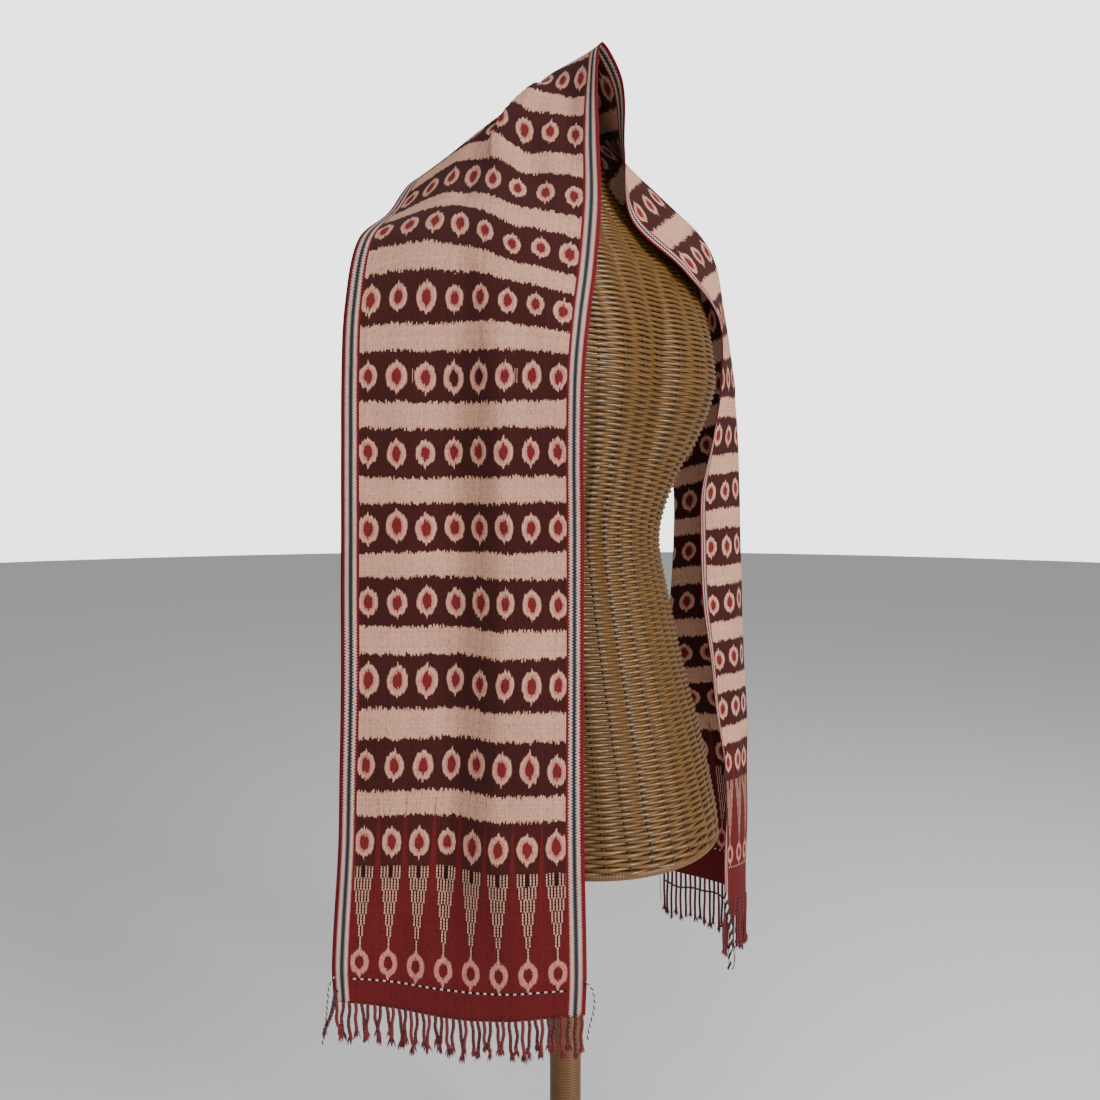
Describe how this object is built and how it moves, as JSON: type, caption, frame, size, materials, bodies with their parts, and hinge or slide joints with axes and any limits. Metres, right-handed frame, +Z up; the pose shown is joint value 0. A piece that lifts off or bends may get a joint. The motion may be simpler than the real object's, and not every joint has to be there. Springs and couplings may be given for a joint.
{
  "type": "draped shawl on a dress form stand",
  "caption": "Long narrow woven shawl with fringed ends, draped round the neck of a plain dress form on a pole and a round base.",
  "frame": {"origin": "middle of the underside of the round base, on the pole's axis", "axes": "+Z up along the pole, -Y the way the form faces, +X the form's left"},
  "size_m": [0.6348, 0.336, 1.4236],
  "materials": {
    "shawl_cloth": "plain-woven cotton, dull",
    "fringe_near": "twisted cotton cords",
    "fringe_far": "twisted cotton cords",
    "form_torso": "woven rattan, satin",
    "form_pole": "bound rattan, satin",
    "form_base": "stained, satin"
  },
  "bodies": {
    "root": {"shawl_cloth": "shawl_cloth", "fringe_near": "fringe_near", "fringe_far": "fringe_far", "form_torso": "form_torso", "form_pole": "form_pole", "form_base": "form_base"}
  },
  "joints": []
}
